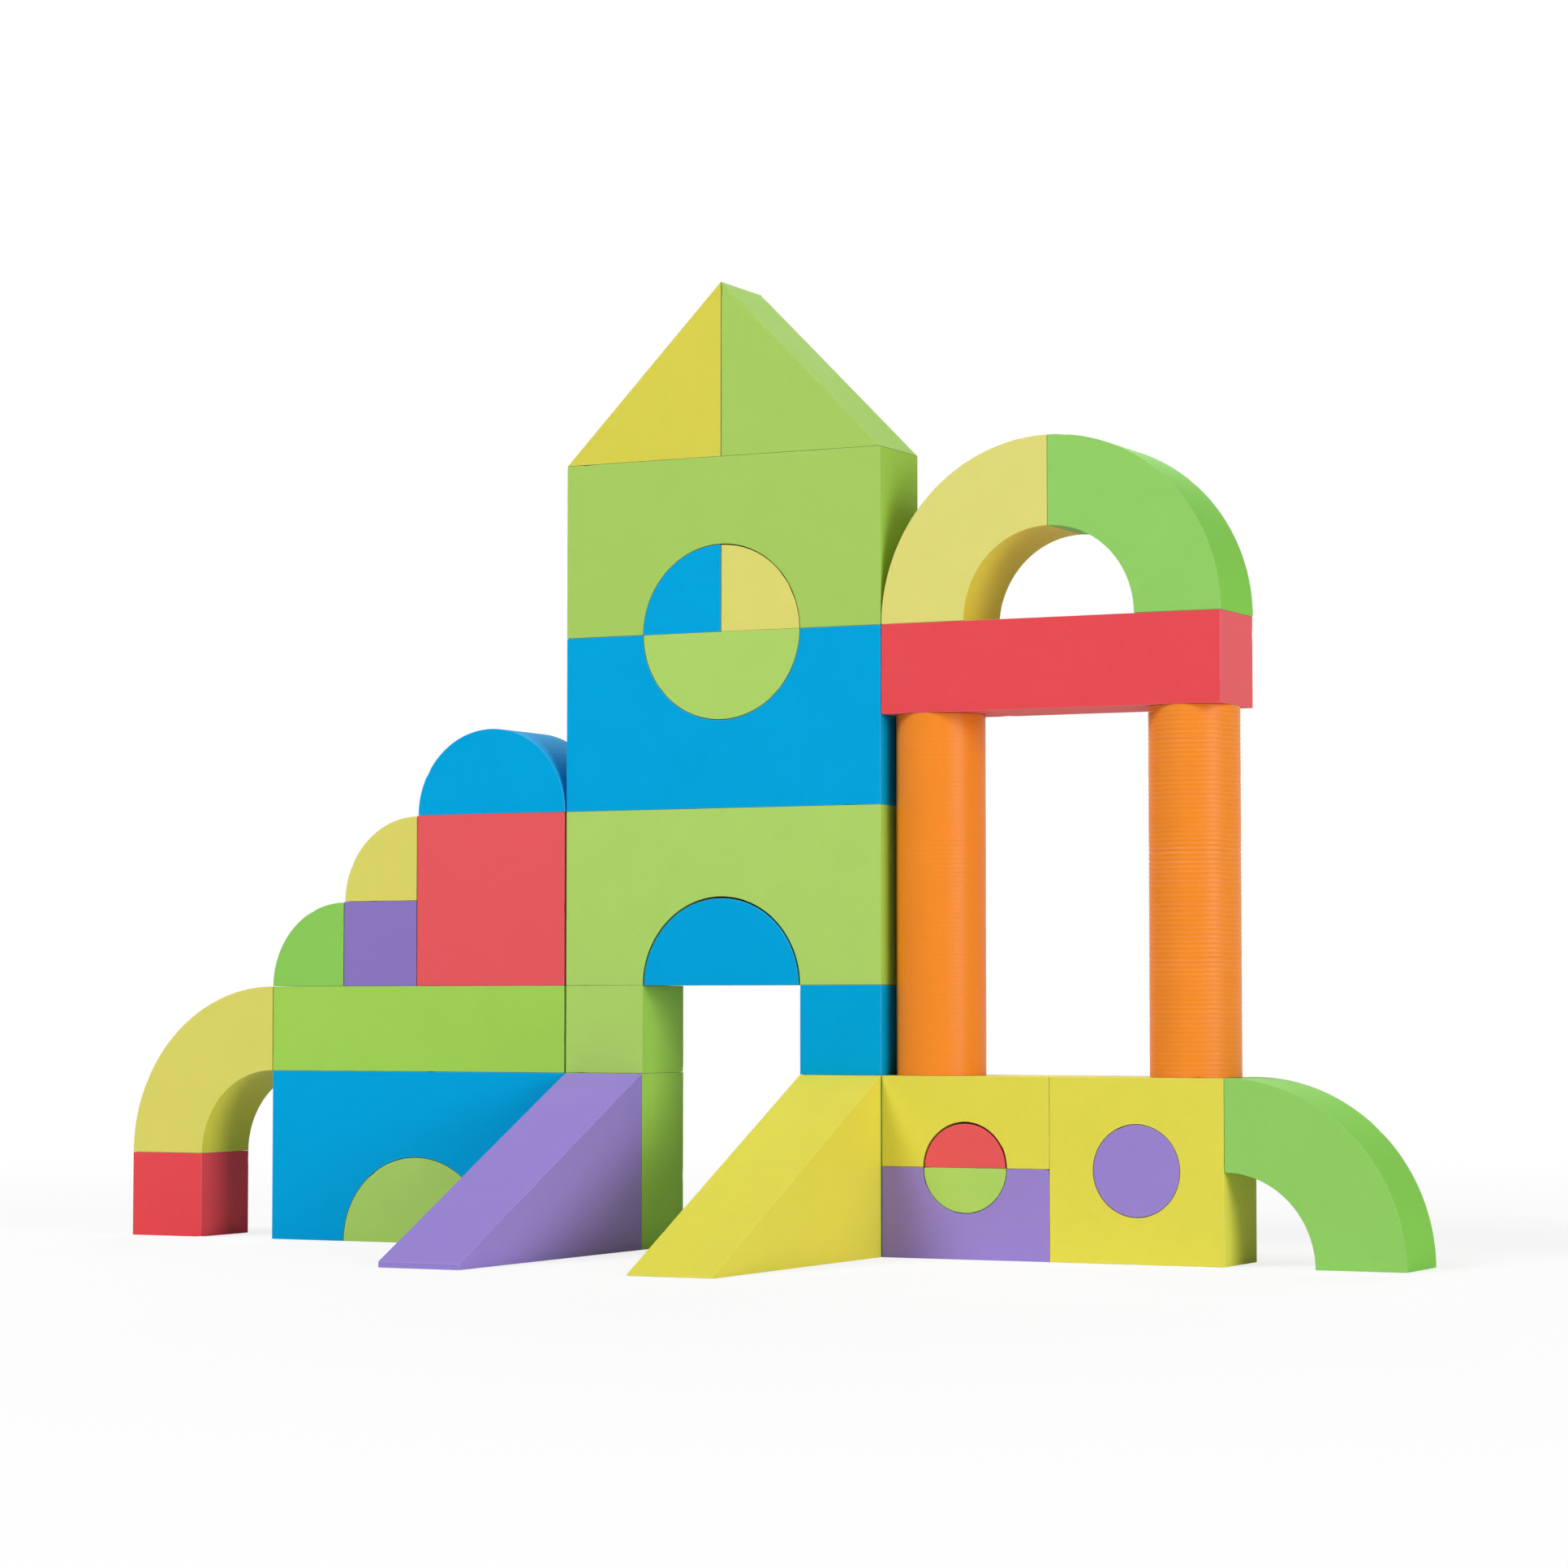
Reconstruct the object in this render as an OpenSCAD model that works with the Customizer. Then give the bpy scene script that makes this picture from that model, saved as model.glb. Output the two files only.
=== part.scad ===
// Castle of giant foam building blocks: loose blocks, discs, arches, ramps and columns, stacked by hand.
// Millimetres, +Z up. The front of the castle faces -Y, and the origin is on the floor below its middle.

/* [Grid] */
// Side of the cubes, which is also the radius of the big discs and half the side of the square blocks
unit = 75; // [60:1:95]
// Depth of every block from front to back
depth = 75; // [50:1:110]
// Gap between blocks that stand side by side
side_gap = 0.6; // [0.2:0.1:0.9]
// Radial clearance of a disc or plug in the cut that it fills
fit_gap = 0.8; // [0.5:0.1:0.9]

/* [Long blocks] */
// Length of the arch blocks, the plank and the beam
long_len = 300; // [240:1:380]
// Height of the arch blocks
arch_h = 150; // [115:1:200]
// Height of the plank and the beam
bar_h = 75; // [45:1:110]

/* [Gate tower] */
// Height of the gate's lower pillars
pillar_h = 150; // [90:1:220]
// Height of the roof wedges
roof_h = 150; // [80:1:220]

/* [Ramps] */
// Length of the ramps along the floor
ramp_len = 300; // [180:1:420]
// Height of the ramps where they meet the gate
ramp_h = 150; // [80:1:180]
// Height of the left ramp's blunt toe
left_toe_h = 5; // [1:0.5:15]
// Height of the right ramp's blunt toe
right_toe_h = 1.5; // [1:0.5:15]

/* [Bridge and columns] */
// Length of the two bridge blocks
bridge_len = 150; // [110:1:200]
// Radius of the round cut in a bridge block
bridge_cut_r = 37.5; // [20:0.5:45]
// Radius of the hole through the square block
hole_r = 37.5; // [20:0.5:50]
// Diameter of the columns
column_d = 75; // [45:1:95]
// Height of the columns
column_h = 300; // [180:1:400]

/* [Quarter arches] */
// Outer radius of the quarter arches
ring_r = 150; // [115:1:190]
// Inner radius of the quarter arches
ring_hole_r = 75; // [40:1:95]

/* [Hidden] */
$fn = 96;

// Room past the faces that a cutting shape needs
over = 1;

// Foam colours
foam_red = [0.86, 0.27, 0.31];
foam_orange = [0.92, 0.52, 0.18];
foam_yellow = [0.87, 0.83, 0.35];
foam_green = [0.63, 0.81, 0.37];
foam_blue = [0.02, 0.60, 0.82];
foam_purple = [0.58, 0.50, 0.78];

// Sizes that follow from the grid
square_side = 2 * unit;
disc_r = unit - fit_gap;
bridge_disc_r = bridge_cut_r - fit_gap;

// Places along X, from the left end of the castle to its right end, with the middle of the whole at 0
left_wing_len = ring_r + side_gap + long_len + side_gap;
base_len = bridge_len + side_gap + square_side;
castle_len = left_wing_len + long_len + side_gap + base_len + side_gap + ring_r;
castle_left = -castle_len / 2;
plank_left = castle_left + ring_r + side_gap;
plank_right = plank_left + long_len;
tower_left = plank_right + side_gap;
tower_mid = tower_left + long_len / 2;
tower_right = tower_left + long_len;
base_left = tower_right + side_gap;
base_right = base_left + base_len;
holed_left = base_right - square_side;
left_square_left = plank_right - square_side;
left_cube_right = left_square_left - side_gap;
left_cube_left = left_cube_right - unit;
gate_right_leg = tower_right - unit;
top_arch_mid = base_left + ring_r + side_gap / 2;

// Places along Y: the ramps lie in front of the blocks, and the middle of the whole is at 0
front_y = (ramp_len + side_gap - depth) / 2;
middle_y = front_y + depth / 2;
back_y = front_y + depth;
ramp_back_y = front_y - side_gap;
ramp_toe_y = ramp_back_y - ramp_len;

// Heights above the floor
plank_z = arch_h;
plank_top = plank_z + bar_h;
gate_top = pillar_h + unit;
sill_z = gate_top + arch_h;
window_z = sill_z + arch_h;
roof_z = window_z + arch_h;
base_top = square_side;
beam_z = base_top + column_h;
beam_top = beam_z + bar_h;

// An outline drawn in X and Z, as deep as every block, with its own origin at x and z
module slab(x, z) {
    translate([x, back_y, z])
        rotate([90, 0, 0])
            linear_extrude(depth)
                children();
}

// A straight block with its lower left corner at x and z
module straight_block(x, z, length, height) {
    slab(x, z)
        square([length, height]);
}

// The half of a disc that lies above its centre, or below it
module half_disc_outline(radius, upward) {
    intersection() {
        circle(radius);
        translate([-radius, upward ? 0 : -radius])
            square([2 * radius, radius]);
    }
}

// The upper quarter of a disc that lies to the left of its centre, or to the right of it
module quarter_disc_outline(radius, leftward) {
    intersection() {
        circle(radius);
        translate([leftward ? -radius : 0, 0])
            square([radius, radius]);
    }
}

// A block with a half-round cut in the middle of its lower face, or of its upper face
module arch_block(x, z, length, height, cut_r, cut_below) {
    slab(x, z)
        difference() {
            square([length, height]);
            translate([length / 2, cut_below ? 0 : height])
                circle(cut_r);
        }
}

// A half disc with its centre at x and z
module half_disc(x, z, radius, upward) {
    slab(x, z)
        half_disc_outline(radius, upward);
}

// A quarter disc with its square corner at x and z
module quarter_disc(x, z, leftward) {
    slab(x, z)
        quarter_disc_outline(disc_r, leftward);
}

// A quarter of a ring, with the ring's centre at x and z
module quarter_arch(x, z, leftward) {
    slab(x, z)
        difference() {
            quarter_disc_outline(ring_r, leftward);
            circle(ring_hole_r);
        }
}

// Half of the roof: a right-angled wedge whose tall side stands at x and whose slope falls to one side
module roof_wedge(x, leftward) {
    reach = (long_len - side_gap) / 2;
    slab(x, roof_z)
        polygon([[0, 0], [leftward ? -reach : reach, 0], [0, roof_h]]);
}

// A ramp as wide as a gate leg, which falls from the gate to a blunt toe at the front
module ramp(x, toe_h) {
    translate([x, 0, 0])
        rotate([90, 0, 90])
            linear_extrude(unit)
                polygon([[ramp_back_y, 0], [ramp_back_y, ramp_h], [ramp_toe_y, toe_h], [ramp_toe_y, 0]]);
}

// A round column whose axis stands at x
module column(x) {
    translate([x, middle_y, base_top])
        cylinder(d = column_d, h = column_h);
}

// Left wing: a foot cube and quarter arch that lean on a filled arch block with a stacked plank
module left_foot_cube() {
    color(foam_red)
        straight_block(castle_left, 0, unit, unit);
}

module left_quarter_arch() {
    color(foam_yellow)
        quarter_arch(castle_left + ring_r, unit, true);
}

module left_arch_block() {
    color(foam_blue)
        arch_block(plank_left, 0, long_len, arch_h, unit, true);
}

module left_arch_half_disc() {
    color(foam_green)
        half_disc(plank_left + long_len / 2, 0, disc_r, true);
}

module left_plank() {
    color(foam_green)
        straight_block(plank_left, plank_z, long_len, bar_h);
}

module plank_quarter_disc() {
    color(foam_green)
        quarter_disc(left_cube_left - side_gap, plank_top, true);
}

module plank_cube() {
    color(foam_purple)
        straight_block(left_cube_left, plank_top, unit, unit);
}

module cube_quarter_disc() {
    color(foam_yellow)
        quarter_disc(left_cube_right, plank_top + unit, true);
}

module plank_square_block() {
    color(foam_red)
        straight_block(left_square_left, plank_top, square_side, square_side);
}

module square_half_disc() {
    color(foam_blue)
        half_disc(left_square_left + unit, plank_top + square_side, disc_r, true);
}

// Gate tower: two legs behind ramps, three arch blocks with their cuts filled, and a roof in two halves
module gate_ramp_left() {
    color(foam_purple)
        ramp(tower_left, left_toe_h);
}

module gate_pillar_left() {
    color(foam_green)
        straight_block(tower_left, 0, unit, pillar_h);
}

module gate_cube_left() {
    color(foam_green)
        straight_block(tower_left, pillar_h, unit, unit);
}

module gate_pillar_right() {
    color(foam_green)
        straight_block(gate_right_leg, 0, unit, pillar_h);
}

module gate_ramp_right() {
    color(foam_yellow)
        ramp(gate_right_leg, right_toe_h);
}

module gate_cube_right() {
    color(foam_blue)
        straight_block(gate_right_leg, pillar_h, unit, unit);
}

module gate_arch_block() {
    color(foam_green)
        arch_block(tower_left, gate_top, long_len, arch_h, unit, true);
}

module gate_half_disc() {
    color(foam_blue)
        half_disc(tower_mid, gate_top, disc_r, true);
}

module sill_arch_block() {
    color(foam_blue)
        arch_block(tower_left, sill_z, long_len, arch_h, unit, false);
}

module window_half_disc() {
    color(foam_green)
        half_disc(tower_mid, window_z, disc_r, false);
}

module head_arch_block() {
    color(foam_green)
        arch_block(tower_left, window_z, long_len, arch_h, unit, true);
}

module window_quarter_left() {
    color(foam_blue)
        quarter_disc(tower_mid - side_gap / 2, window_z, true);
}

module window_quarter_right() {
    color(foam_yellow)
        quarter_disc(tower_mid + side_gap / 2, window_z, false);
}

module roof_wedge_left() {
    color(foam_yellow)
        roof_wedge(tower_mid - side_gap / 2, true);
}

module roof_wedge_right() {
    color(foam_green)
        roof_wedge(tower_mid + side_gap / 2, false);
}

// Right wing: a base of two bridge blocks and a plugged square, two columns, a beam and a round top
module bridge_block_lower() {
    color(foam_purple)
        arch_block(base_left, 0, bridge_len, unit, bridge_cut_r, false);
}

module bridge_half_disc_lower() {
    color(foam_green)
        half_disc(base_left + bridge_len / 2, unit, bridge_disc_r, false);
}

module bridge_block_upper() {
    color(foam_yellow)
        arch_block(base_left, unit, bridge_len, unit, bridge_cut_r, true);
}

module bridge_half_disc_upper() {
    color(foam_red)
        half_disc(base_left + bridge_len / 2, unit, bridge_disc_r, true);
}

module holed_square_block() {
    color(foam_yellow)
        difference() {
            straight_block(holed_left, 0, square_side, square_side);
            translate([holed_left + unit, back_y + over, unit])
                rotate([90, 0, 0])
                    cylinder(r = hole_r, h = depth + 2 * over);
        }
}

module round_plug() {
    color(foam_purple)
        translate([holed_left + unit, back_y, unit])
            rotate([90, 0, 0])
                cylinder(r = hole_r - fit_gap, h = depth);
}

module column_left() {
    color(foam_orange)
        column(base_left + column_d / 2);
}

module column_right() {
    color(foam_orange)
        column(base_right - column_d / 2);
}

module beam() {
    color(foam_red)
        straight_block(base_left, beam_z, long_len, bar_h);
}

module top_quarter_arch_left() {
    color(foam_yellow)
        quarter_arch(top_arch_mid - side_gap / 2, beam_top, true);
}

module top_quarter_arch_right() {
    color(foam_green)
        quarter_arch(top_arch_mid + side_gap / 2, beam_top, false);
}

module right_quarter_arch() {
    color(foam_green)
        quarter_arch(base_right + side_gap, 0, false);
}

left_foot_cube();
left_quarter_arch();
left_arch_block();
left_arch_half_disc();
left_plank();
plank_quarter_disc();
plank_cube();
cube_quarter_disc();
plank_square_block();
square_half_disc();
gate_ramp_left();
gate_pillar_left();
gate_cube_left();
gate_pillar_right();
gate_ramp_right();
gate_cube_right();
gate_arch_block();
gate_half_disc();
sill_arch_block();
window_half_disc();
head_arch_block();
window_quarter_left();
window_quarter_right();
roof_wedge_left();
roof_wedge_right();
bridge_block_lower();
bridge_half_disc_lower();
bridge_block_upper();
bridge_half_disc_upper();
holed_square_block();
round_plug();
column_left();
column_right();
beam();
top_quarter_arch_left();
top_quarter_arch_right();
right_quarter_arch();
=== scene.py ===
import math
import random

import bmesh
import bpy
from mathutils import Euler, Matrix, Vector, noise


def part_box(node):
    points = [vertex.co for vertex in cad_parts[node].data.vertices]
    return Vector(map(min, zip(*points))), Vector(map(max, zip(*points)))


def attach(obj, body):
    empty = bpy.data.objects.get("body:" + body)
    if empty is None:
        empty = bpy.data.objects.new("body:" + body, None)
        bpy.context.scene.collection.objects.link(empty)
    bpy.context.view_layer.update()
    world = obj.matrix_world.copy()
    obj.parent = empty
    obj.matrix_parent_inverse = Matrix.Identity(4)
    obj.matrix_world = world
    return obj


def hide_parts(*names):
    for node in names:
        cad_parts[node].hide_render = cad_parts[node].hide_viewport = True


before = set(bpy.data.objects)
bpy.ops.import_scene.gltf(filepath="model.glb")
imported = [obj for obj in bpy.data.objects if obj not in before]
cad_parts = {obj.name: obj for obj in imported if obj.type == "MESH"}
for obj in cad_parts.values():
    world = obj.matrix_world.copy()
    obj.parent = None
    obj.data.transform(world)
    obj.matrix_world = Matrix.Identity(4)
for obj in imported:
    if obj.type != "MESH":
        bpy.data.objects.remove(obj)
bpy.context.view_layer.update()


# Foot cube: the red block on the floor at the castle's left end. It is sawn from a thick sheet of
# closed-cell foam: its front and back keep the sheet's skin, the other four faces show the wire's cut.
MM = 0.001
WHITE = (1.0, 1.0, 1.0, 1.0)


def dye(red, green, blue):
    """The colour of a foam, from its screen values to the light that it gives back."""
    shares = [value / 255 for value in (red, green, blue)]
    light = [s / 12.92 if s <= 0.04045 else ((s + 0.055) / 1.055) ** 2.4 for s in shares]
    return (*light, 1.0)


def toned(colour, share):
    """The same dye, lighter or darker by a share of itself."""
    return (*[min(1.0, part * share) for part in colour[:3]], 1.0)


def paled(colour, share):
    """The same dye, part of the way to white: rubbed wear on the edges, and a painted highlight along them.
    """
    return (*[part + (1.0 - part) * share for part in colour[:3]], 1.0)


def soaked_and_shaded(colour, strength):
    """The same dye, laid on more strongly: the foam's own deeper cut for leaf green, and painted shade for
    pale yellow and the lime greens, whose shaded sides look deeper.
    """
    most = max(colour[:3])
    return (*[most * (part / most) ** strength for part in colour[:3]], 1.0)


class Wire:
    """One socket of a shader. Sums on wires add Math nodes, and node() adds a node of any other kind."""

    def __init__(self, tree, socket=None):
        self.tree = tree
        self.socket = socket

    def node(self, kind, settings, inputs, output=0):
        made = self.tree.nodes.new(kind)
        for name, value in settings.items():
            setattr(made, name, value)
        for name, value in inputs.items():
            if isinstance(value, Wire):
                self.tree.links.new(value.socket, made.inputs[name])
            else:
                made.inputs[name].default_value = value
        return Wire(self.tree, made.outputs[output])

    def feed(self, socket):
        self.tree.links.new(self.socket, socket)

    def sum(self, operation, first, second):
        return self.node("ShaderNodeMath", {"operation": operation}, {0: first, 1: second})

    def __add__(self, other):
        return self.sum("ADD", self, other)

    def __radd__(self, other):
        return self.sum("ADD", other, self)

    def __sub__(self, other):
        return self.sum("SUBTRACT", self, other)

    def __rsub__(self, other):
        return self.sum("SUBTRACT", other, self)

    def __mul__(self, other):
        return self.sum("MULTIPLY", self, other)

    def __rmul__(self, other):
        return self.sum("MULTIPLY", other, self)


FACTOR, COLOUR_A, COLOUR_B, COLOUR_OUT = 0, 6, 7, 2


def mixed(share, first, second):
    """A colour that goes from the first to the second as a wire goes from 0 to 1."""
    settings = {"data_type": "RGBA", "clamp_factor": True}
    sockets = {FACTOR: share, COLOUR_A: first, COLOUR_B: second}
    return share.node("ShaderNodeMix", settings, sockets, COLOUR_OUT)


FOAM_GLOSS = 0.14
FOAM_ROUGHNESS = 0.6
CLOUD_ROUGHENS = 0.12
CUT_ROUGHENS = 0.05
CLOUDS_PER_M = 24
CLOUD_DETAIL = 4.0
CLOUD_BREAK = 0.6
CELLS_PER_M = 720
PORES_PER_M = 62
PORE_FLOOR = 0.02
PORE_RIM = 0.05
WIRE_LINES_PER_M = 330
LINE_DETAIL = 1.0
GRAIN_PER_M = 260
GRAIN_DETAIL = 2.0
MEAN = 0.5
CELL_MEAN = 0.45
CLOUD_TINT = 0.65
CELL_TINT = 0.3
LINE_TINT = 0.35
PORE_TINT = 0.5
DARKEST = 0.945
LIGHTEST = 1.055
DEEP_SHARE = 0.6
# Paler line on rounded edges and column ring ridges: partly rubbed wear, partly a painted highlight.
EDGE_RUB_AND_HIGHLIGHT = 0.3
EVEN_RUB_AND_HIGHLIGHT = 0.55
CLOUDED_RUB_AND_HIGHLIGHT = 0.9
RUB_AND_HIGHLIGHT_PALE = 0.3
RELIEF = 0.16 * MM
RELIEF_STRENGTH = 0.6
CELL_RISE = 0.3
CUT_CELL_RISE = 0.25
GRAIN_RISE = 0.55
LINE_RISE = 0.6
PORE_DEPTH = 1.2


def foam(slot, colour, gloss=FOAM_GLOSS, roughness=FOAM_ROUGHNESS, strength=1.0, batch=""):
    """Closed-cell foam of one dye: clouds, small cells, stray pores with painted shade in them, wire lines,
    rubbed edges with a painted highlight, and sawn faces in a stronger dye that is partly painted shade.
    """
    material = bpy.data.materials.new(slot + batch)
    material.use_nodes = True
    tree = material.node_tree
    shader = tree.nodes["Principled BSDF"]
    start = Wire(tree)
    place = start.node("ShaderNodeTexCoord", {}, {}, "Object")
    edge = start.node("ShaderNodeAttribute", {"attribute_name": "edge"}, {}, "Fac")
    skin = start.node("ShaderNodeAttribute", {"attribute_name": "skin"}, {}, "Fac")
    fade = start.node("ShaderNodeAttribute", {"attribute_name": "fade"}, {}, "Fac")
    outline = start.node("ShaderNodeAttribute", {"attribute_name": "outline"}, {}, "Vector")
    clouding = {"Vector": place, "Scale": CLOUDS_PER_M, "Detail": CLOUD_DETAIL, "Roughness": CLOUD_BREAK}
    cloud = start.node("ShaderNodeTexNoise", {}, clouding, "Fac")
    graining = {"Vector": place, "Scale": GRAIN_PER_M, "Detail": GRAIN_DETAIL}
    grain = start.node("ShaderNodeTexNoise", {}, graining, "Fac")
    cell = start.node("ShaderNodeTexVoronoi", {}, {"Vector": place, "Scale": CELLS_PER_M}, "Distance")
    spot = start.node("ShaderNodeTexVoronoi", {}, {"Vector": place, "Scale": PORES_PER_M}, "Distance")
    sinking = {"Value": spot, "From Min": PORE_FLOOR, "From Max": PORE_RIM, "To Min": 1.0, "To Max": 0.0}
    pore = start.node("ShaderNodeMapRange", {"interpolation_type": "SMOOTHSTEP"}, sinking)
    lining = {"Vector": outline, "Scale": WIRE_LINES_PER_M, "Detail": LINE_DETAIL}
    line = start.node("ShaderNodeTexNoise", {}, lining, "Fac")
    cut = 1.0 - skin

    tint = MEAN + (cloud - MEAN) * CLOUD_TINT + (cell - CELL_MEAN) * CELL_TINT
    # The pores are painted darker as well as sunk in the relief: painted shade in the pits.
    tint = tint + (line - MEAN) * cut * LINE_TINT - pore * PORE_TINT
    # Sawn faces get a stronger dye: for leaf green its own, for pale yellow and the lime greens painted
    # shade, the deeper colour of their shaded sides.
    strong = soaked_and_shaded(colour, strength)
    skin_dye = mixed(tint, toned(colour, DARKEST), toned(colour, LIGHTEST))
    cut_and_shade_dye = mixed(tint, toned(strong, DARKEST), toned(strong, LIGHTEST))
    bleached = mixed(fade, mixed(cut, skin_dye, cut_and_shade_dye), WHITE)
    deepened = mixed(0.0 - fade, bleached, toned(colour, DEEP_SHARE))
    # Rounded edges and ring ridges are paled here: partly rubbed wear, partly a painted highlight along
    # them.
    worn = edge * EDGE_RUB_AND_HIGHLIGHT * (EVEN_RUB_AND_HIGHLIGHT + cloud * CLOUDED_RUB_AND_HIGHLIGHT)
    mixed(worn, deepened, paled(colour, RUB_AND_HIGHLIGHT_PALE)).feed(shader.inputs["Base Color"])
    rough = roughness + (cloud - MEAN) * CLOUD_ROUGHENS + cut * CUT_ROUGHENS
    rough.feed(shader.inputs["Roughness"])
    height = cell * (CELL_RISE + cut * CUT_CELL_RISE) + grain * GRAIN_RISE
    height = height + line * cut * LINE_RISE - pore * PORE_DEPTH
    bumps = {"Strength": RELIEF_STRENGTH, "Distance": RELIEF, "Height": height}
    start.node("ShaderNodeBump", {}, bumps).feed(shader.inputs["Normal"])
    shader.inputs["Specular IOR Level"].default_value = gloss
    return slot, material


def straight_block(name, short=0.0):
    """A block with straight sides, as large as its place or a little short at its right end."""
    low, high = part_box(name)
    high.x -= short
    block = bmesh.new()
    bmesh.ops.create_cube(block, size=1)
    bmesh.ops.scale(block, vec=high - low, verts=block.verts)
    bmesh.ops.translate(block, vec=(low + high) / 2, verts=block.verts)
    return block


ROUND_OVER = 0.45 * MM
ROUND_STEPS = 3
SHARP_ANGLE = math.radians(40)
ROUNDED = "rounded"


def round_over(block, radius=ROUND_OVER):
    """Softens every sawn edge, and marks the narrow faces that this leaves."""
    bmesh.ops.recalc_face_normals(block, faces=block.faces)
    mark = block.faces.layers.int.new(ROUNDED)
    block.normal_update()
    sharp = [e for e in block.edges if e.is_manifold and e.calc_face_angle() > SHARP_ANGLE]
    softened = bmesh.ops.bevel(
        block, geom=sharp, offset=radius, offset_type="OFFSET", affect="EDGES",
        segments=ROUND_STEPS, profile=0.5, clamp_overlap=True, material=-1,
    )
    for face in softened["faces"]:
        face[mark] = 1


RULING = 7.5 * MM
MERGE = 0.001 * MM


def rule_off(block):
    """Rules a block into small squares each way, so that its faces can be a little uneven."""
    for way in range(3):
        places = [v.co[way] for v in block.verts]
        low, high = min(places), max(places)
        count = max(1, round((high - low) / RULING))
        normal = Vector((0, 0, 0))
        normal[way] = 1
        for number in range(1, count):
            point = normal * (low + (high - low) * number / count)
            everything = block.verts[:] + block.edges[:] + block.faces[:]
            bmesh.ops.bisect_plane(block, geom=everything, dist=MERGE, plane_co=point, plane_no=normal)


SWELL_PER_M = 14
SWELL = 0.16 * MM
RIPPLE_PER_M = 55
RIPPLE = 0.05 * MM
DENTS = 3
DENT_REACH = 6.5 * MM
DENT_DEPTH = 0.55 * MM
LIGHTEST_KNOCK = 0.3


def drift(point):
    """A smooth chance from 0 to 1 that belongs to a place."""
    return 0.5 + 0.5 * noise.noise(point)


def wear(block, name):
    """Lets the faces of a block sink a little here and there, and knocks small dents into its edges."""
    block.normal_update()
    chance = random.Random(name)
    mark = block.faces.layers.int[ROUNDED]
    worn = [v for v in block.verts if all(f[mark] for f in v.link_faces)]
    knocked = chance.sample(worn, min(DENTS, len(worn)))
    dents = [(v.co.copy(), chance.uniform(LIGHTEST_KNOCK, 1.0)) for v in knocked]
    inward = [-v.normal for v in block.verts]
    for vert, way in zip(block.verts, inward):
        sink = SWELL * drift(vert.co * SWELL_PER_M)
        sink += RIPPLE * drift(vert.co * RIPPLE_PER_M)
        for point, force in dents:
            near = max(0.0, 1 - (vert.co - point).length / DENT_REACH)
            sink += DENT_DEPTH * force * near * near
        vert.co += way * sink


SQUARE_ON = 0.98


def mark_foam(block, sheet_way, faded=0.0, painted_cut_sheen=0.0):
    """Notes the sheet's skin, the rounded edges that get rubbed wear and a painted highlight, the lines of
    the cut, and how pale or deep the dye is, which on the beam's sawn faces is a painted sheen.
    """
    mark = block.faces.layers.int[ROUNDED]
    edge = block.verts.layers.float.get("edge") or block.verts.layers.float.new("edge")
    skin = block.verts.layers.float.new("skin")
    fade = block.verts.layers.float.new("fade")
    outline = block.verts.layers.float_vector.new("outline")
    for vert in block.verts:
        vert[edge] = max(vert[edge], float(all(f[mark] for f in vert.link_faces)))
        vert[skin] = float(any(abs(f.normal[sheet_way]) > SQUARE_ON for f in vert.link_faces))
        # Sawn faces take their own share of paling: on the beam this is a painted sheen.
        vert[fade] = faded if vert[skin] or faded < 0 else painted_cut_sheen
        along = vert.co.copy()
        along[sheet_way] = 0
        vert[outline] = along


FLAT_FACE_WEIGHT = 60


def set_in_place(block, name, finish):
    """Turns a finished block into a piece of the castle that stands for its solid and moves with it."""
    slot, material = finish
    mesh = bpy.data.meshes.new(name + "_foam")
    block.to_mesh(mesh)
    block.free()
    mesh.polygons.foreach_set("use_smooth", [True] * len(mesh.polygons))
    mesh.materials.append(material)
    piece = bpy.data.objects.new(name + "_foam", mesh)
    bpy.context.scene.collection.objects.link(piece)
    flat = piece.modifiers.new("flat_faces", "WEIGHTED_NORMAL")
    flat.weight = FLAT_FACE_WEIGHT
    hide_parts(name)
    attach(piece, name)


SHEET_WAY = 1


def finish_block(block, name, finish, faded=0.0, painted_cut_sheen=0.0, sheet_way=SHEET_WAY, radius=ROUND_OVER):
    """Rounds over, rules, wears and places a block, whose dye may be paler or deeper than its batch, and
    whose sawn faces may be painted paler as a painted sheen.
    """
    round_over(block, radius)
    rule_off(block)
    wear(block, name)
    block.normal_update()
    mark_foam(block, sheet_way, faded, painted_cut_sheen)
    set_in_place(block, name, finish)


red_foam = foam("foam_red", dye(222, 70, 76))
finish_block(straight_block("left_foot_cube"), "left_foot_cube", red_foam)


# Left arch block and half disc: a blue block on the floor with a half-round cut, and the green half disc
# that fills the cut. Both are cut from sheets of one thickness, and the disc has a little play in its hole.
CUT_RADIUS = 75 * MM
ARCH_ROWS = 3
SWEEP_STEP = 5 * MM
LEAST_STEPS = 8
QUARTER_TURN = math.pi / 2
HALF_TURN = math.pi
FULL_TURN = 2 * math.pi
UP, DOWN = -1, 1
SNUG = 0.45 * MM
BLUE_GLOSS = 0.03
# The stronger dye on the pale lime's sawn faces is painted shade: the deeper colour of its shaded sides.
PALE_LIME_CUT_SHADE = 1.3


def swept(sheet, radius, turn, over):
    """Sweeps what a sheet holds round the Y axis, over the top or under the bottom, in short steps."""
    pairs = round(radius * QUARTER_TURN / 2 / SWEEP_STEP)
    steps = round(turn / QUARTER_TURN) * max(LEAST_STEPS, 2 * pairs)
    everything = sheet.verts[:] + sheet.edges[:]
    bmesh.ops.spin(
        sheet, geom=everything, cent=(0, 0, 0), axis=(0, over, 0), angle=turn, steps=steps,
        use_merge=turn == FULL_TURN,
    )
    bmesh.ops.remove_doubles(sheet, verts=sheet.verts, dist=MERGE)


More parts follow.
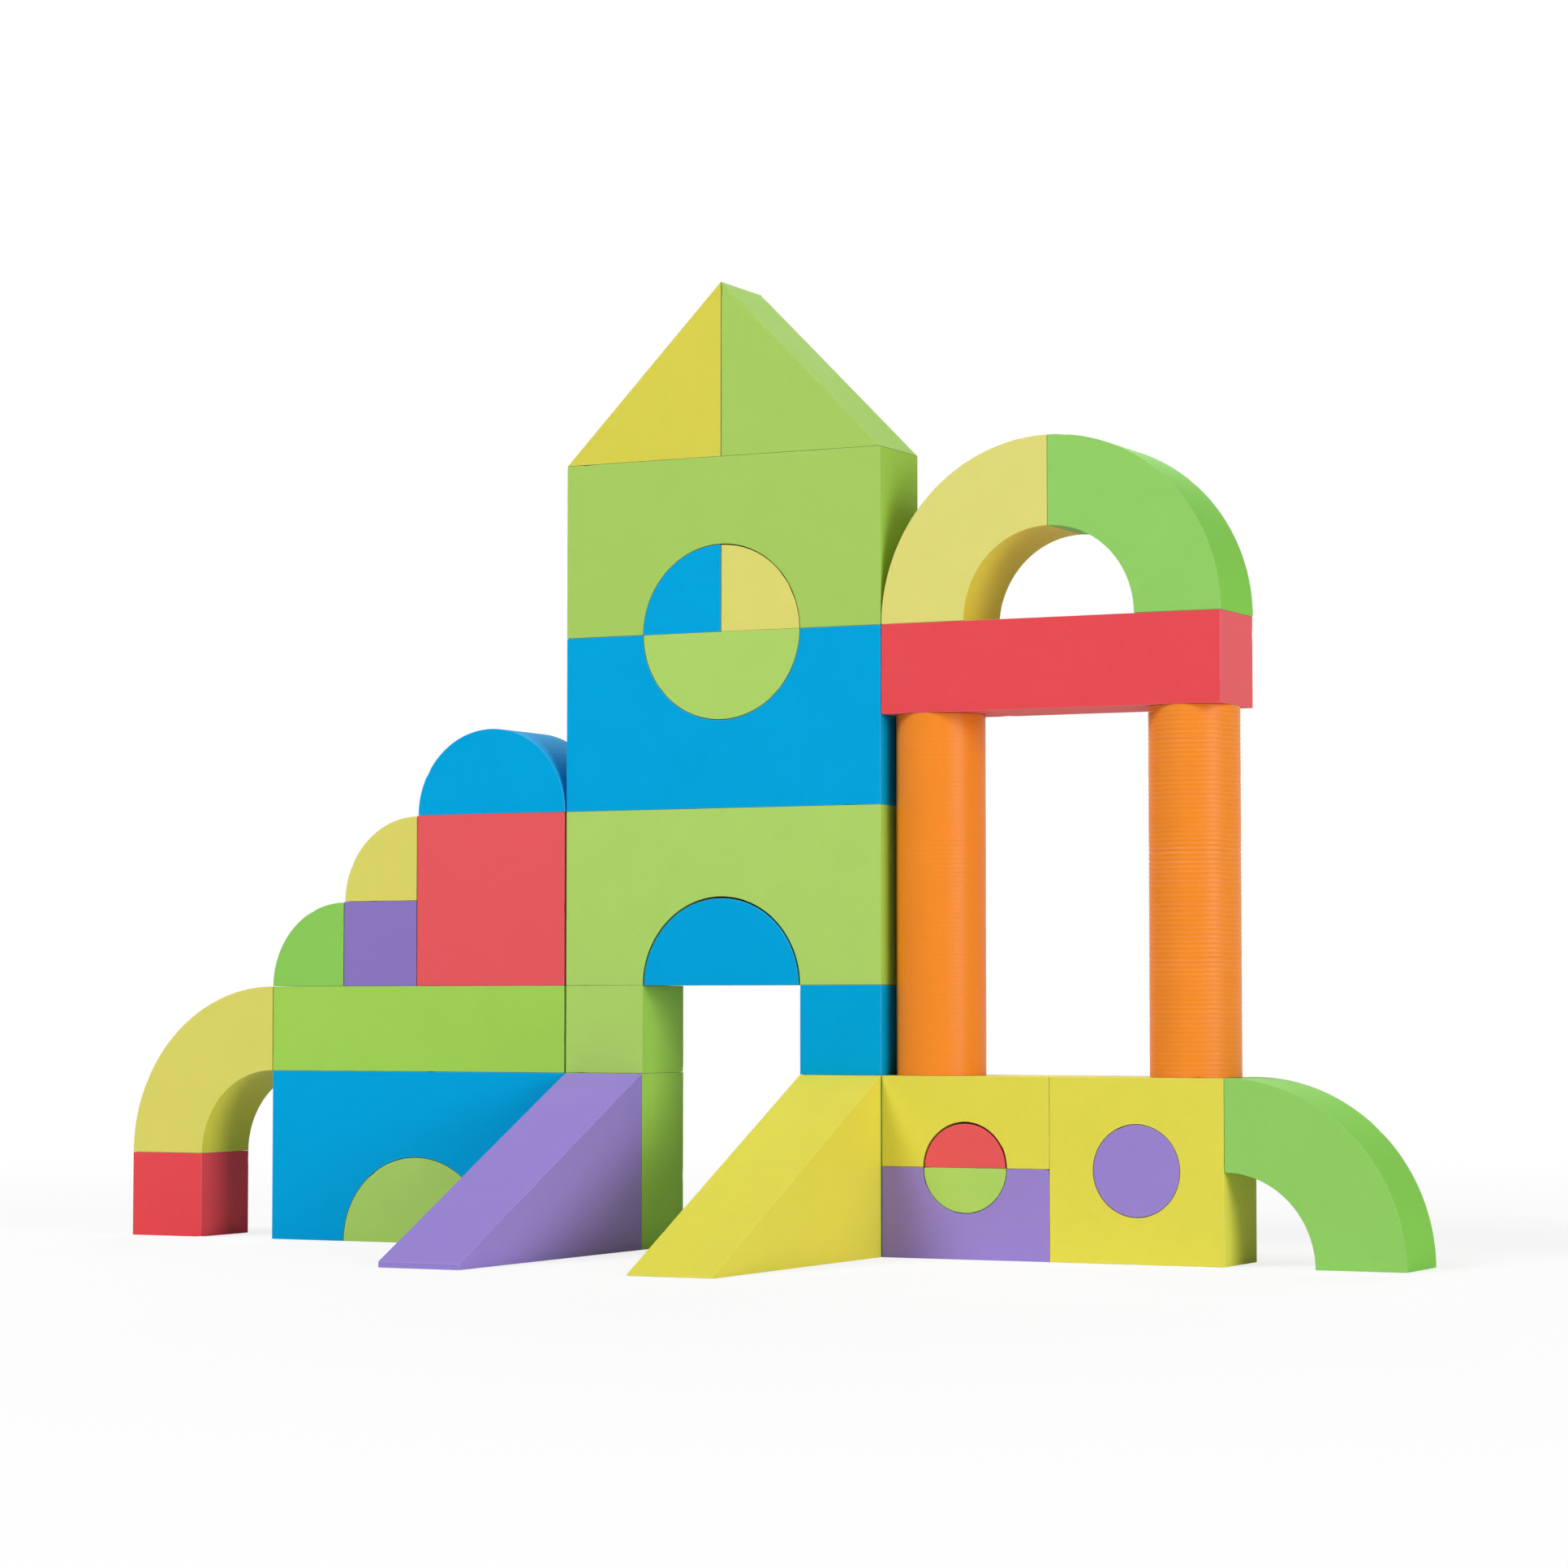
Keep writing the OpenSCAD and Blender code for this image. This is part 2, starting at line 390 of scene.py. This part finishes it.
def swept_line(inner, outer, rows, turn, over):
    """A straight line of points from one radius to another, swept round the Y axis."""
    sheet = bmesh.new()
    points = [sheet.verts.new((inner + (outer - inner) * row / rows, 0, 0)) for row in range(rows + 1)]
    for first, second in zip(points, points[1:]):
        sheet.edges.new((first, second))
    swept(sheet, outer, turn, over)
    return sheet


def squared_off(sheet, inner, outer):
    """Pushes the outside of a swept sheet out to straight sides, and leaves its round cut alone."""
    for vert in sheet.verts:
        reach = math.hypot(vert.co.x, vert.co.z)
        share = (reach - inner) / (outer - inner)
        side = outer * reach / max(abs(vert.co.x), abs(vert.co.z))
        vert.co *= (inner + (side - inner) * share) / reach


def thickened(sheet, middle_x, front, back, middle_z):
    """Gives a flat outline the sheet's thickness, and puts it where it stands."""
    bmesh.ops.translate(sheet, vec=(middle_x, front, middle_z), verts=sheet.verts)
    grown = bmesh.ops.extrude_face_region(sheet, geom=sheet.faces[:], use_keep_orig=True)
    moved = [g for g in grown["geom"] if isinstance(g, bmesh.types.BMVert)]
    bmesh.ops.translate(sheet, vec=(0, back - front, 0), verts=moved)
    bmesh.ops.recalc_face_normals(sheet, faces=sheet.faces)
    return sheet


def arch_block(name, radius, opens):
    """A block with a half-round cut in the middle of its lower or upper face."""
    low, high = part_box(name)
    half = (high.x - low.x) / 2
    sheet = swept_line(radius, half, ARCH_ROWS, HALF_TURN, -opens)
    squared_off(sheet, radius, half)
    foot = low.z if opens == DOWN else high.z
    return thickened(sheet, (low.x + high.x) / 2, low.y, high.y, foot)


def round_outline(radius, turn, over):
    """The flat outline of a disc, or of a half or a quarter of one."""
    sheet = bmesh.new()
    sheet.verts.new((radius, 0, 0))
    swept(sheet, radius, turn, over)
    ends = [v for v in sheet.verts if len(v.link_edges) == 1]
    if turn == QUARTER_TURN:
        corner = sheet.verts.new((0, 0, 0))
        for end in ends:
            sheet.edges.new((end, corner))
    elif turn == HALF_TURN:
        sheet.edges.new(ends)
    bmesh.ops.contextual_create(sheet, geom=sheet.edges[:])
    return sheet


def half_disc(name, opens, snug=0.0):
    """A half disc that bulges away from its straight side, a little larger or smaller than its place."""
    low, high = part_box(name)
    radius = (high.x - low.x) / 2 + snug
    sheet = round_outline(radius, HALF_TURN, -opens)
    straight = low.z if opens == DOWN else high.z
    return thickened(sheet, (low.x + high.x) / 2, low.y, high.y, straight)


blue_foam = foam("foam_blue", dye(0, 158, 214), BLUE_GLOSS)
pale_lime_foam = foam("foam_lime_green", dye(167, 204, 99), strength=PALE_LIME_CUT_SHADE, batch="_pale")
finish_block(arch_block("left_arch_block", CUT_RADIUS, DOWN), "left_arch_block", blue_foam)
finish_block(half_disc("left_arch_half_disc", DOWN, SNUG), "left_arch_half_disc", pale_lime_foam)


# Left quarter arch: a quarter of a thick ring in pale yellow foam, cut in one sweep. It stands on the
# foot cube, and its other end leans on the end of the plank.
RING_HOLE = 75 * MM
RING_ROWS = 3
LEFTWARD, RIGHTWARD = -1, 1
# The stronger dye on the pale yellow's sawn faces is painted shade: the deeper colour of its shaded sides.
PALE_YELLOW_CUT_SHADE = 1.5


def quarter_arch(name, side, reach=0.0):
    """A quarter of a ring that rises from its foot on one side to its top, which may reach further."""
    low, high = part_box(name)
    sheet = swept_line(RING_HOLE, high.z - low.z, RING_ROWS, QUARTER_TURN, UP)
    if side == LEFTWARD:
        bmesh.ops.scale(sheet, vec=(-1, 1, 1), verts=sheet.verts)
    for vert in sheet.verts:
        if abs(vert.co.x) < reach:
            vert.co.x -= side * reach
    middle = high.x if side == LEFTWARD else low.x
    return thickened(sheet, middle, low.y, high.y, low.z)


pale_foam = foam("foam_pale_yellow", dye(212, 206, 98), strength=PALE_YELLOW_CUT_SHADE)
finish_block(quarter_arch("left_quarter_arch", LEFTWARD), "left_quarter_arch", pale_foam)


# Plank and the blocks on it: a long green plank lies on the blue arch block, and carries a purple cube
# and a red square block. They are plain sawn blocks that only rest on each other.
SAWN_SHORT = 1.2 * MM
SUNNED = 0.03
DEEP = -0.5
lime_foam = foam("foam_lime_green", dye(155, 203, 80))
purple_foam = foam("foam_purple", dye(147, 126, 203))
finish_block(straight_block("left_plank", SAWN_SHORT), "left_plank", lime_foam)
finish_block(straight_block("plank_cube"), "plank_cube", purple_foam, DEEP)
finish_block(straight_block("plank_square_block", SAWN_SHORT), "plank_square_block", red_foam, SUNNED)


# Rounded blocks of the left wing: two quarter discs step down beside the cube and the square block,
# and a blue half disc crowns the square block. Each rests on its own flat side.
LEAF_CUT = 1.15


def quarter_disc(name, side, snug=0.0):
    """A quarter disc that stands on one straight side, with its round side to the left or right."""
    low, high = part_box(name)
    sheet = round_outline(high.z - low.z + snug, QUARTER_TURN, UP)
    if side == LEFTWARD:
        bmesh.ops.scale(sheet, vec=(-1, 1, 1), verts=sheet.verts)
    corner = high.x if side == LEFTWARD else low.x
    return thickened(sheet, corner, low.y, high.y, low.z)


leaf_foam = foam("foam_leaf_green", dye(133, 196, 84), strength=LEAF_CUT)
finish_block(quarter_disc("plank_quarter_disc", LEFTWARD), "plank_quarter_disc", leaf_foam)
finish_block(quarter_disc("cube_quarter_disc", LEFTWARD), "cube_quarter_disc", pale_foam)
finish_block(half_disc("square_half_disc", DOWN), "square_half_disc", blue_foam)


# Legs of the gate: a tall pillar and a cube on each side of the doorway, sawn foam like the rest.
# The pillars carry the whole tower, and nothing but weight holds the cubes on them.
for leg in ("gate_pillar_left", "gate_cube_left", "gate_pillar_right"):
    finish_block(straight_block(leg), leg, pale_lime_foam)
finish_block(straight_block("gate_cube_right"), "gate_cube_right", blue_foam)


# Ramps: two long wedges that lead up to the gate, one purple and one yellow. Each is sawn on a slant
# from one block and ends in a thin blunt toe, and its skin is on the two upright sides.
ACROSS = 0
LEFT_TOE = 5 * MM
RIGHT_TOE = 1.5 * MM
THIN_ROUND_OVER = 0.35 * MM


def ramp(name, toe):
    """A block whose top is sawn down to a toe at the front."""
    block = straight_block(name)
    low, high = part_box(name)
    for vert in block.verts:
        if vert.co.z > toe + low.z and vert.co.y < (low.y + high.y) / 2:
            vert.co.z = low.z + toe
    return block


yellow_foam = foam("foam_yellow", dye(218, 210, 75))
left_ramp = ramp("gate_ramp_left", LEFT_TOE)
right_ramp = ramp("gate_ramp_right", RIGHT_TOE)
finish_block(left_ramp, "gate_ramp_left", purple_foam, sheet_way=ACROSS)
finish_block(right_ramp, "gate_ramp_right", yellow_foam, sheet_way=ACROSS, radius=THIN_ROUND_OVER)


# Tower: three long arch blocks lie on the gate's legs, the middle one with its cut upwards, so that two
# cuts make a round window. Half discs and quarter discs of foam sit loosely in the cuts.
LOOSE = -0.6 * MM
# The stronger dye on the dull lime's sawn faces is painted shade: the deeper colour of its shaded sides.
DULL_LIME_CUT_SHADE = 1.2
dull_lime_foam = foam("foam_lime_green", dye(159, 196, 91), strength=DULL_LIME_CUT_SHADE, batch="_dull")
finish_block(arch_block("gate_arch_block", CUT_RADIUS, DOWN), "gate_arch_block", pale_lime_foam)
finish_block(half_disc("gate_half_disc", DOWN, LOOSE), "gate_half_disc", blue_foam)
finish_block(arch_block("sill_arch_block", CUT_RADIUS, UP), "sill_arch_block", blue_foam)
finish_block(half_disc("window_half_disc", UP, SNUG), "window_half_disc", pale_lime_foam)
finish_block(arch_block("head_arch_block", CUT_RADIUS, DOWN), "head_arch_block", dull_lime_foam)
finish_block(quarter_disc("window_quarter_left", LEFTWARD, SNUG), "window_quarter_left", blue_foam)
finish_block(quarter_disc("window_quarter_right", RIGHTWARD), "window_quarter_right", pale_foam, SUNNED)


# Roof: a yellow and a green wedge stand back to back on the tower. Each is half of a block that was
# sawn from corner to corner, and the dye of the yellow one came out a little deeper than its batch.
DEEPISH = -0.28


def roof_wedge(name, side):
    """A right-angled wedge that falls to the left or to the right."""
    block = straight_block(name)
    low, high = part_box(name)
    tall_side = high.x if side == LEFTWARD else low.x
    for vert in block.verts:
        if vert.co.z > (low.z + high.z) / 2:
            vert.co.x = tall_side
    bmesh.ops.remove_doubles(block, verts=block.verts, dist=MERGE)
    return block


finish_block(roof_wedge("roof_wedge_left", LEFTWARD), "roof_wedge_left", yellow_foam, DEEPISH)
finish_block(roof_wedge("roof_wedge_right", RIGHTWARD), "roof_wedge_right", dull_lime_foam)


# Bridge: two short blocks lie on each other beside the gate, with a half-round cut in each. The two
# small half discs in the cuts make a round spot of red and green.
SMALL_CUT = 37.5 * MM
finish_block(arch_block("bridge_block_lower", SMALL_CUT, UP), "bridge_block_lower", purple_foam)
finish_block(half_disc("bridge_half_disc_lower", UP, SNUG), "bridge_half_disc_lower", pale_lime_foam)
finish_block(arch_block("bridge_block_upper", SMALL_CUT, DOWN), "bridge_block_upper", yellow_foam)
finish_block(half_disc("bridge_half_disc_upper", DOWN, LOOSE), "bridge_half_disc_upper", red_foam, SUNNED)


# Holed square block and plug: a yellow block with a round hole through its middle, and the purple plug
# that was cut to go in it. The plug is held by a light rub all round.
def holed_block(name, radius):
    """A square block with a round hole, which nearly touches its neighbour on the left."""
    low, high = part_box(name)
    half = (high.x - low.x) / 2
    sheet = swept_line(radius, half, ARCH_ROWS, FULL_TURN, UP)
    squared_off(sheet, radius, half)
    for vert in sheet.verts:
        if vert.co.x < SNUG - half:
            vert.co.x -= SNUG
    return thickened(sheet, (low.x + high.x) / 2, low.y, high.y, (low.z + high.z) / 2)


def round_plug(name):
    """A full disc, as deep as the block that it fills."""
    low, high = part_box(name)
    sheet = round_outline((high.x - low.x) / 2 + SNUG, FULL_TURN, UP)
    return thickened(sheet, (low.x + high.x) / 2, low.y, high.y, (low.z + high.z) / 2)


finish_block(holed_block("holed_square_block", SMALL_CUT), "holed_square_block", yellow_foam)
finish_block(round_plug("round_plug"), "round_plug", purple_foam)


# Columns: two orange cylinders that were turned from foam bars. The tool left fine rings all the way
# up, which are deeper on the right column than on the left and deepen towards the top.
RING_PITCH = 3.75 * MM
POINTS_PER_RING = 5
COLUMN_STEPS = 96
LEFT_RINGS = 0.12 * MM
RIGHT_RINGS = 0.5 * MM
RINGS_AT_FOOT = 0.7
RINGS_AT_TOP = 1.6
CHATTER_PER_M = 26
FAINTEST_CHATTER = 0.15
FAINTEST_RING = 0.6
UPRIGHT = 2
COLUMN_GLOSS = 0.2
COLUMN_ROUGHNESS = 0.36


def turned_column(name, depth_of_rings):
    """A cylinder with the rings of the turning tool, none of them quite like the next."""
    low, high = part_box(name)
    chance = random.Random(name)
    radius = (high.x - low.x) / 2
    height = high.z - low.z
    rings = round(height / RING_PITCH)
    column = bmesh.new()
    edge = column.verts.layers.float.new("edge")
    profile = [column.verts.new((0, 0, low.z)), column.verts.new((radius, 0, low.z))]
    for ring in range(rings):
        chatter = MEAN + noise.noise(Vector((0, 0, ring * RING_PITCH * CHATTER_PER_M)))
        deeper = RINGS_AT_FOOT + (RINGS_AT_TOP - RINGS_AT_FOOT) * ring / rings
        scatter = chance.uniform(FAINTEST_RING, 1.0)
        cut = depth_of_rings * deeper * max(FAINTEST_CHATTER, chatter) * scatter
        for point in range(1 if ring == 0 else 0, POINTS_PER_RING):
            share = point / POINTS_PER_RING
            groove = cut * math.sin(math.pi * share)
            level = low.z + height * (ring + share) / rings
            profile.append(column.verts.new((radius - groove, 0, level)))
            # The top of each ring is marked for the paler edge line, a painted highlight along the ridge.
            profile[-1][edge] = cut / RIGHT_RINGS if point == 0 else 0.0
    profile.append(column.verts.new((radius, 0, high.z)))
    profile.append(column.verts.new((0, 0, high.z)))
    for first, second in zip(profile, profile[1:]):
        column.edges.new((first, second))
    line = column.verts[:] + column.edges[:]
    bmesh.ops.spin(
        column, geom=line, cent=(0, 0, 0), axis=(0, 0, 1), angle=FULL_TURN, steps=COLUMN_STEPS,
        use_merge=True,
    )
    bmesh.ops.remove_doubles(column, verts=column.verts, dist=MERGE)
    middle = ((low.x + high.x) / 2, (low.y + high.y) / 2, 0)
    bmesh.ops.translate(column, vec=middle, verts=column.verts)
    return column


orange_foam = foam("foam_orange", dye(233, 132, 28), COLUMN_GLOSS, COLUMN_ROUGHNESS)
for column_name, ring_depth in (("column_left", LEFT_RINGS), ("column_right", RIGHT_RINGS)):
    turned = turned_column(column_name, ring_depth)
    round_over(turned)
    wear(turned, column_name)
    turned.normal_update()
    mark_foam(turned, UPRIGHT)
    set_in_place(turned, column_name, orange_foam)


# Beam and top arch: a red beam lies across the two columns, and a yellow and a green quarter arch meet
# on it as a half ring. Only weight keeps them together. The beam's sawn faces are painted paler: a painted
# sheen for the light that its end and underside catch.
# This share gives the top left quarter arch's skin its own paler tone, and gives the beam's sawn faces a
# painted sheen.
BLEACH_AND_SHEEN = 0.055
top_left = quarter_arch("top_quarter_arch_left", LEFTWARD)
top_right = quarter_arch("top_quarter_arch_right", RIGHTWARD, SNUG)
finish_block(straight_block("beam"), "beam", red_foam, painted_cut_sheen=BLEACH_AND_SHEEN)
finish_block(top_left, "top_quarter_arch_left", pale_foam, BLEACH_AND_SHEEN)
finish_block(top_right, "top_quarter_arch_right", leaf_foam, SUNNED)


# Right quarter arch: the same cut in green, on the floor at the castle's right end, where its top leans
# on the holed block.
right_arch = quarter_arch("right_quarter_arch", RIGHTWARD, SNUG)
finish_block(right_arch, "right_quarter_arch", leaf_foam, SUNNED)


# Studio: a pale round floor and four soft lamps, on the left in front, low on the right, overhead and
# behind. The white around the castle is only what the camera sees of the floor and the world, and the
# floor keeps the shadow.
FLOOR_RADIUS = 14
FLOOR_SIDES = 96
FLOOR_DROP = 0.2 * MM
FLOOR_GREY = (0.9, 0.9, 0.9, 1.0)
FLOOR_ROUGHNESS = 0.9
FLOOR_GLOSS = 0.1
SHADE_LEFT = 0.2
SHADE_NEAR = 0.8
SHADE_FAR = 2.6
AMBIENT = 0.04

floor_sheet = bmesh.new()
bmesh.ops.create_circle(floor_sheet, cap_ends=True, radius=FLOOR_RADIUS, segments=FLOOR_SIDES)
bmesh.ops.translate(floor_sheet, vec=(0, 0, -FLOOR_DROP), verts=floor_sheet.verts)
floor_mesh = bpy.data.meshes.new("floor")
floor_sheet.to_mesh(floor_mesh)
floor_sheet.free()
floor = bpy.data.objects.new("floor", floor_mesh)
bpy.context.scene.collection.objects.link(floor)

floor_paint = bpy.data.materials.new("floor_paint")
floor_paint.use_nodes = True
floor_tree = floor_paint.node_tree
matt = floor_tree.nodes["Principled BSDF"]
matt.inputs["Base Color"].default_value = FLOOR_GREY
matt.inputs["Roughness"].default_value = FLOOR_ROUGHNESS
matt.inputs["Specular IOR Level"].default_value = FLOOR_GLOSS


def seen_directly(tree):
    """1 for what the camera, a gloss or a clear thing sees, and 0 for light that falls on a surface."""
    sight = Wire(tree)
    seen = sight.node("ShaderNodeLightPath", {}, {}, "Is Camera Ray")
    for kind in ("Is Glossy Ray", "Is Transmission Ray"):
        also_seen = sight.node("ShaderNodeLightPath", {}, {}, kind)
        seen = sight.sum("MAXIMUM", seen, also_seen)
    return seen


floor_start = Wire(floor_tree)
spot_on_floor = floor_start.node("ShaderNodeTexCoord", {}, {}, "Object")
away = floor_start.node("ShaderNodeVectorMath", {"operation": "LENGTH"}, {0: spot_on_floor}, "Value")
fading = {"Value": away, "From Min": SHADE_NEAR, "From Max": SHADE_FAR, "To Min": 1 - SHADE_LEFT}
whiteness = floor_start.node("ShaderNodeMapRange", {"interpolation_type": "SMOOTHSTEP"}, fading)
white = floor_start.node("ShaderNodeEmission", {}, {"Color": WHITE, "Strength": 1.0})
floor_mix = {0: seen_directly(floor_tree) * whiteness, 1: Wire(floor_tree, matt.outputs[0]), 2: white}
floor_finish = floor_start.node("ShaderNodeMixShader", {}, floor_mix)
floor_finish.feed(floor_tree.nodes["Material Output"].inputs["Surface"])
floor_mesh.materials.append(floor_paint)

room = bpy.data.worlds.new("room")
room.use_nodes = True
room_tree = room.node_tree
room_light = room_tree.nodes["Background"]
room_light.inputs["Color"].default_value = WHITE
(AMBIENT + seen_directly(room_tree) * (1 - AMBIENT)).feed(room_light.inputs["Strength"])
bpy.context.scene.world = room

CASTLE_MIDDLE = Vector((0.0, 0.1, 0.35))
LAMP_AWAY = 9.0
LAMP_SIZE = 3.9
FRONT_LAMP = (-30, 45, 576)
SIDE_LAMP = (70, 12, 477)
TOP_LAMP = (0, 84, 112)
BACK_LAMP = (197, 35, 236)


def soft_lamp(name, bearing, rise, power):
    """A square soft lamp that faces the castle, so many degrees round from its front and up."""
    turn = math.radians(bearing)
    lift = math.radians(rise)
    way = Vector((math.sin(turn) * math.cos(lift), -math.cos(turn) * math.cos(lift), math.sin(lift)))
    lamp = bpy.data.lights.new(name, "AREA")
    lamp.shape = "SQUARE"
    lamp.size = LAMP_SIZE
    lamp.energy = power
    holder = bpy.data.objects.new(name, lamp)
    holder.location = CASTLE_MIDDLE + way * LAMP_AWAY
    holder.rotation_euler = (-way).to_track_quat("-Z", "Y").to_euler()
    bpy.context.scene.collection.objects.link(holder)


soft_lamp("front_lamp", *FRONT_LAMP)
soft_lamp("side_lamp", *SIDE_LAMP)
soft_lamp("top_lamp", *TOP_LAMP)
soft_lamp("back_lamp", *BACK_LAMP)

CAMERA_PLACE = Vector((1.6037, -2.9762, 0.2072))
CAMERA_PITCH = math.radians(93.095)
CAMERA_YAW = math.radians(26.555)
LENS = 94.36
SENSOR = 36

eye = bpy.data.cameras.new("camera")
eye.lens = LENS
eye.sensor_width = SENSOR
camera = bpy.data.objects.new("camera", eye)
camera.location = CAMERA_PLACE
camera.rotation_euler = Euler((CAMERA_PITCH, 0, CAMERA_YAW))
bpy.context.scene.collection.objects.link(camera)
bpy.context.scene.camera = camera
bpy.context.scene.view_settings.view_transform = "Standard"
